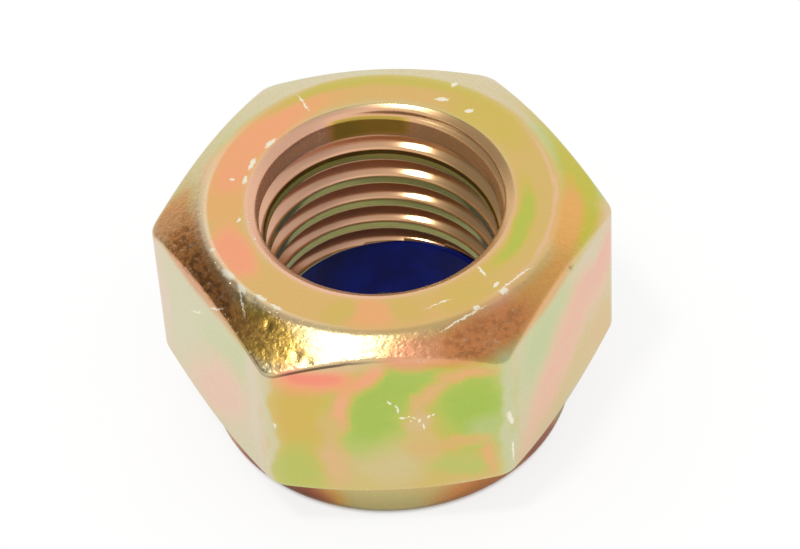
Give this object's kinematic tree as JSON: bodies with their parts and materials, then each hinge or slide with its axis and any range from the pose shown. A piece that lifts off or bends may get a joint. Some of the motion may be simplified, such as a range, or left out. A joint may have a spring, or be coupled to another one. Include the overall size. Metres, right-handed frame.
{
  "type": "self-locking nut",
  "caption": "Hexagon lock nut with a nylon ring crimped into its crown; the ring grips the bolt's thread so that the nut does not work loose.",
  "frame": {"origin": "centre of the crown rim, at the bottom of the nut as it stands", "axes": "+Z along the bolt axis towards the bearing face, +X towards a corner of the hexagon, -Y towards a flat"},
  "size_m": [0.0274, 0.024, 0.016],
  "materials": {
    "zinc_plated_steel": "yellow passivated zinc plate, satin, with iridescent pink and green patches",
    "blue_nylon": "smooth moulded nylon, dark blue"
  },
  "bodies": {
    "root": {"nut_body": "zinc_plated_steel", "locking_ring": "blue_nylon"}
  },
  "joints": []
}
